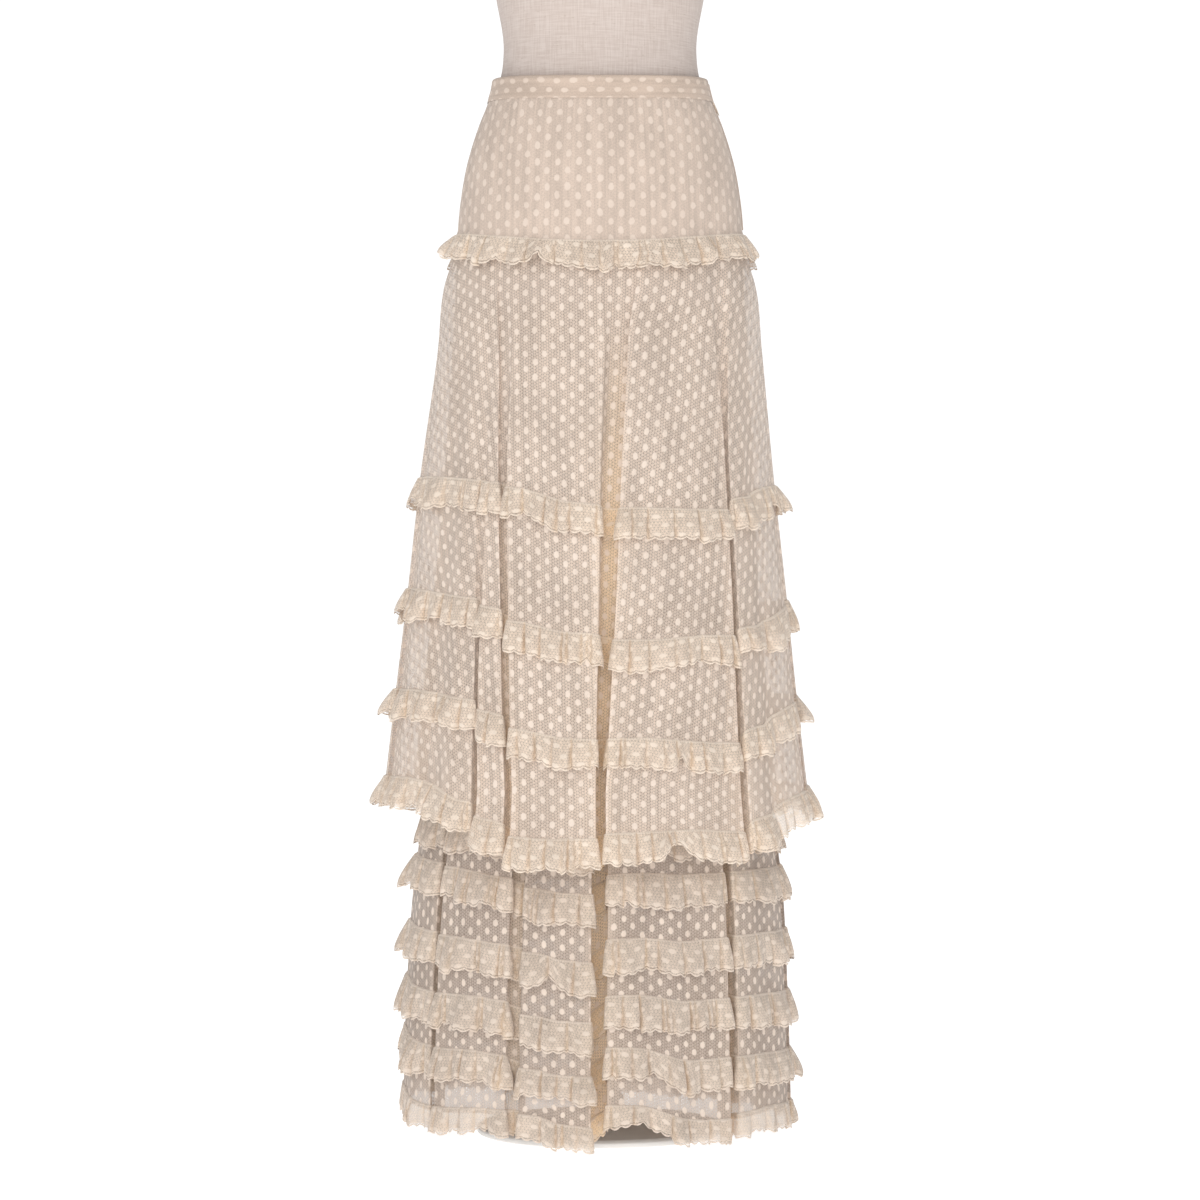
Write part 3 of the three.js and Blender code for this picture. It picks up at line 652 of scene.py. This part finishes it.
# Heights of the ruffles' seams round the overskirt: three ruffles and the hem's
OVERSKIRT_SEAMS = {
    -180: (706, 576, 474, 376), -120: (713, 588, 484, 387), -80: (720, 599, 489, 394),
    -46: (716, 591, 485, 386), -35: (713, 586, 478, 368), -21: (707, 566, 453, 340),
    -4: (684, 548, 439, 337), 12: (683, 544, 441, 343), 30: (682, 548, 436, 344),
    42: (684, 549, 435, 338), 57: (702, 563, 460, 366), 85: (711, 584, 478, 380),
    125: (708, 580, 479, 379), 180: (706, 576, 474, 376),
}


def hung_panel(name, layer, start, levels, lengths, rows, swing, finish):
    """A panel from its edges' heights at each angle, lowest last, and the cloth's lengths down to them."""
    cloth = layer.columns(start, start + 180)
    heights = np.stack([level(cloth) for level in levels])
    down = np.linspace(0, lengths[-1], rows)
    k = np.clip(np.searchsorted(lengths, down, side="right") - 1, 0, len(lengths) - 2)
    share = ((down - np.take(lengths, k)) / (np.take(lengths, k + 1) - np.take(lengths, k)))[:, None]
    z = heights[k] * (1 - share) + heights[k + 1] * share
    places, _, edge, hollow = layer.place(cloth[None, :], z)
    run = run_of(places)
    middle = np.argmin(np.abs(cloth - (start + 90)))
    run = run - run[:, middle : middle + 1]
    radius = swing + down[:, None]
    maps = {
        "cloth": (radius * np.sin(run / radius), -radius * np.cos(run / radius)),
        "marks": (edge, hollow),
    }
    maps = {title: tuple(part[::-1] for part in parts) for title, parts in maps.items()}
    return surface(name, places[::-1], maps, finish)


def hip_line(layer):
    """The height of the hip seam at each angle of a layer's cloth."""
    return lambda a: hip_seam(a + np.interp(turned_to(a), layer.hems, layer.drifts))


overskirt = Layer(OVERSKIRT, OVERSKIRT_PLEATS, 962, 3, 0.95)
over_levels = [hip_line(overskirt)] + [lambda a, k=k: read(OVERSKIRT_SEAMS, k, turned_to(a)) for k in range(3)]
over_levels.append(lambda a: read(OVERSKIRT_SEAMS, 3, turned_to(a)) - 6)
for name, node, start in (
    ("overskirt_front_panel", "overskirt_front", -90), ("overskirt_back_panel", "overskirt_back", 90),
):
    panel = hung_panel(name, overskirt, start, over_levels, [0, 268, 402, 508, 618], 84, 560, dotted_tulle)
    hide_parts(node)


# The underskirt: plain net from the hip seam down, hidden under the overskirt, and below it two panels of
# the dotted tulle that reach the floor in the same pleats, narrower all round.
UNDERSKIRT = {
    985: (155.8, 109.7, 120.4, 0), 880: (161, 113, 124, 0), 720: (170, 130, 138, -1),
    347: (192, 165, 170, -2), 290: (200, 173, 178, -2), 150: (209, 184, 188, -3), 0: (213, 191, 194, -3),
}
UNDERSKIRT_PLEATS = [
    (-60, -57, 14, 5, 8, 1.0), (-36, -25, 11, 8, 8, 1.0), (6, 0.5, 34, 8.5, 12, 0.8),
    (50, 43.5, 20, 6.0, 11, 0.8), (82, 81, 6, 8, 7, 1.0), (119, 117, 16, 6.0, 11, 0.8),
    (148, 146, 19, 8.0, 11, 0.8), (178, 177, 23, 7.5, 12, 0.8), (209, 208, 18, 8, 11, 0.8),
    (243, 245, 16, 6, 11, 0.8),
]
UNDERSKIRT_SEAMS = {
    -180: (346, 296, 228, 162, 100, 44), -90: (355, 308, 236, 177, 122, 57),
    -60: (349, 303, 229, 165, 107, 43), -32: (342, 292, 222, 163, 106, 48),
    -18: (334, 281, 214, 148, 92, 44), -5: (330, 277, 205, 144, 87, 32),
    6: (342, 294, 226, 167, 113, 54), 28: (343, 295, 225, 162, 100, 38),
    40: (343, 296, 228, 164, 101, 35), 54: (344, 296, 228, 163, 100, 41),
    90: (346, 296, 227, 160, 96, 38), 180: (346, 296, 228, 162, 100, 44),
}
underskirt = Layer(UNDERSKIRT, UNDERSKIRT_PLEATS, 872, 8, 0.85)
plain_net = tulle_of("plain_net", (190, 176, 165), (190, 176, 165), 0.66, 0.5)
# The underskirt's dotted tulle has a darker, nearly opaque net: painted shade, for the shadow inside the skirt
# seen through it. Its dots keep their own colour.
shaded_under_tulle = tulle_of("shaded_under_tulle", (183, 167, 155), (231, 215, 201), 0.97, 0.9)
top_under = lambda a: read(UNDERSKIRT_SEAMS, 0, turned_to(a))
net_levels = [lambda a: hip_line(underskirt)(a) - 0.4, lambda a: top_under(a) + 6.3]
for name, node, start in (
    ("net_front_panel", "net_underlayer_front", -90), ("net_back_panel", "net_underlayer_back", 90),
):
    panel = hung_panel(name, underskirt, start, net_levels, [0, 634], 44, 900, plain_net)
    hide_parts(node)
under_levels = [lambda a: top_under(a) + 6]
under_levels += [lambda a, k=k: read(UNDERSKIRT_SEAMS, k, turned_to(a)) for k in range(1, 5)]
under_levels.append(lambda a: read(UNDERSKIRT_SEAMS, 5, turned_to(a)) - 6)
for name, node, start in (
    ("underskirt_front_panel", "underskirt_front", -90), ("underskirt_back_panel", "underskirt_back", 90),
):
    lengths = [0, 54, 122, 186, 246, 308]
    panel = hung_panel(name, underskirt, start, under_levels, lengths, 48, 1500, shaded_under_tulle)
    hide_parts(node)


# The ruffles: strips cut across the dotted tulle, gathered along a line of stitches into uneven flat tucks
# and sewn on over it. Their lower edge is scalloped and corded, with a row of dots just above it.
ruffle_tulle = tulle_of("ruffle_tulle", (228, 211, 194), (236, 222, 207), 0.86, 0.6, edged=True)
# The underskirt's ruffles are the same tulle as the overskirt's, with a darker, denser net: painted shade.
shaded_under_ruffle_tulle = tulle_of("shaded_under_ruffle_tulle", (213, 197, 182), (230, 215, 201), 0.93, 0.5, edged=True)
RUFFLES = {
    # layer, height of the seam, drop, flare, wave, places where the edge turns up: angle, lift, half width
    "hip_ruffle": (
        overskirt, lambda a: over_levels[0](a) + 1.2, 33, 7, 6,
        [(-15, 16, 2.4), (-30, 7, 7), (41, 15, 3.2), (60, 6, 9), (-66, 6, 9), (-48, 5, 2.5), (10, 4, 3),
         (-87, 15, 8), (86, 8, 9), (180, 10, 5), (120, 8, 6), (-130, 9, 5)],
    ),
    "overskirt_ruffle_1": (
        overskirt, over_levels[1], 34, 6, 5,
        [(71, 10, 3), (-86, 8, 8), (-15, 3, 5), (88, 8, 6), (160, 9, 4)],
    ),
    "overskirt_ruffle_2": (
        overskirt, over_levels[2], 34, 6, 5,
        [(-52, 6, 2.4), (52, 10, 3), (25, 4, 6), (-86, 8, 8), (-160, 9, 4)],
    ),
    "overskirt_ruffle_3": (
        overskirt, over_levels[3], 33, 6, 5,
        [(22, 11, 1.8), (-44, 6, 2.5), (-88, 6, 8), (86, 8, 6)],
    ),
    "overskirt_hem_ruffle": (
        overskirt, lambda a: read(OVERSKIRT_SEAMS, 3, turned_to(a)), 34, 8, 7,
        [(20, 17, 4), (-12, 5, 2), (-88, 2, 8), (84, 13, 7), (150, 12, 4)],
    ),
    "underskirt_ruffle_1": (underskirt, top_under, 33, 4, 4, [(20, 10, 2.4)]),
    "underskirt_ruffle_2": (underskirt, under_levels[1], 36, 7, 6, [(-35, 9, 2)]),
    "underskirt_ruffle_3": (underskirt, under_levels[2], 36, 7, 6, [(-14, 10, 2.5)]),
    "underskirt_ruffle_4": (underskirt, under_levels[3], 36, 7, 6, [(31, 9, 2)]),
    "underskirt_ruffle_5": (underskirt, under_levels[4], 35, 7, 6, [(16, 8, 3), (-12, 8, 9)]),
    "underskirt_hem_ruffle": (
        underskirt, lambda a: read(UNDERSKIRT_SEAMS, 5, turned_to(a)), 27, 3, 4, [(13, 9, 2)]
    ),
}


def gathered_strip(name, layer, seam, drop, flare, wave, turned_up, seed):
    """A ruffle all round a layer, from the height of its seam at each angle."""
    dice = random.Random(seed)
    base = layer.columns(-180, 180)
    base = np.interp(np.arange(0, len(base) - 1, 0.34), np.arange(len(base)), base)
    base = np.append(base, 180.0)
    line, *_ = layer.place(base[None, :], seam(base)[None, :])
    length = run_of(line)[0]
    total = length[-1]

    # Where along the strip its tucks are, and its columns of points, closer together at a tuck
    tucks = [6.0]
    while tucks[-1] < total - 24:
        tucks.append(tucks[-1] + (dice.uniform(3.5, 7) if dice.random() < 0.15 else dice.uniform(13, 30)))
    tucks = np.array(tucks)
    near = (tucks[:, None] + np.array([-2.4, -1.4, -0.6, 0, 0.6, 1.4, 2.4])[None, :]).reshape(-1)
    spots = np.concatenate([near[(near > 0) & (near < total)], np.arange(0, total, 1.4)])
    spots.sort()
    spots = np.concatenate([[0.0], spots[1:][np.diff(spots) > 0.45], [total]])
    spots = spots[np.append(np.diff(spots) > 0.3, True)]
    cloth = np.interp(spots, length, base)
    down = np.array([0, 0.04, 0.14, 0.28, 0.44, 0.6, 0.75, 0.88, 0.96, 1.0])[:, None]

    # Between two tucks the cloth leans in or out as one part, and its lower edge hangs a little askew
    part = np.searchsorted(tucks, spots)
    lean = np.array([dice.uniform(-1, 1) for _ in range(len(tucks) + 2)])[part]
    tilt = np.array([dice.uniform(-1, 1) for _ in range(len(tucks) + 2)])[part]
    ends = np.concatenate([[0.0], tucks, [total]])
    along_part = (spots - ends[part]) / (ends[part + 1] - ends[part]) - 0.5
    strengths = np.array([dice.uniform(0.35, 1.0) for _ in tucks])
    nearest = np.argmin(np.abs(spots[:, None] - tucks[None, :]), axis=1)
    gap = np.abs(spots - tucks[nearest])
    lobes = np.zeros_like(spots)
    for lobe in (92, 58, 41):
        lobes += np.sin(math.tau * spots / total * int(total / lobe) + dice.uniform(0, 6.28)) / 1.9
    lift = np.zeros_like(spots)
    for angle, height, width in turned_up:
        lift += height * bell(turned_to(cloth - angle) / width)

    tall = drop * (1 + 0.045 * lobes) + 5.0 * tilt * along_part + 1.5 * lean - lift
    top = seam(cloth)[None, :]
    scallop = 2.8 * (1 - np.abs(np.sin(math.pi * spots / 11)))
    z = top - down * tall + scallop * np.clip((down - 0.75) / 0.25, 0, 1)
    places, free, _, hollow = layer.place(cloth[None, :], z)
    along = np.gradient(places[..., :2], axis=1)
    for _ in range(3):
        along[:, 1:-1] = (along[:, :-2] + 2 * along[:, 1:-1] + along[:, 2:]) / 4
    normal = np.stack([along[..., 1], -along[..., 0]], axis=-1)
    normal /= np.linalg.norm(normal, axis=-1, keepdims=True) + 1e-9

    # How far it stands off the panel: it rolls outwards, and lies down in the tucks and in the deep folds
    room = np.minimum(free, free[:1])
    spread = flare + wave * lobes + 0.35 * lift
    rolled = 1.35 * down - 0.5 * down**4
    out = 1.6 + room * (np.clip(spread, 1.0, None) * rolled + (0.5 + 2.4 * down) * lean)
    out += 1.5 * np.clip(gap / 7, 0, 1) * (0.35 + 0.65 * down) * room
    tuck = strengths[nearest] * bell(gap[None, :] / (0.8 + 1.3 * down))
    out -= tuck * room * (1.4 + 5.4 * down)
    out = np.clip(out, 0.6, None)
    out[0] = 0.2
    out[:, -1] = out[:, 0]
    places[..., :2] += normal * out[..., None]
    places[:, -1] = places[:, 0]

    # The cloth in each tuck, and the pattern's scale along the gathered strip
    run = run_of(places)[6]
    fullness = np.concatenate([[0], np.cumsum(np.where(np.diff(part) > 0, 5.0, 0.0))])
    up = (1 - down) * tall
    maps = {
        "cloth": ((up + 4.8)[::-1], 0.85 * (run + fullness)[None, :]),
        "marks": ((down * tall)[::-1], up[::-1]),
        "folds": (tuck[::-1], hollow[::-1]),
    }
    finish = ruffle_tulle if layer is overskirt else shaded_under_ruffle_tulle
    strip = surface(name + "_strip", places[::-1], maps, finish, closed=True)
    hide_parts(name)
    drop / 1000 + 0.004


for seed, (name, facts) in enumerate(RUFFLES.items()):
    gathered_strip(name, *facts, seed=seed + 5)
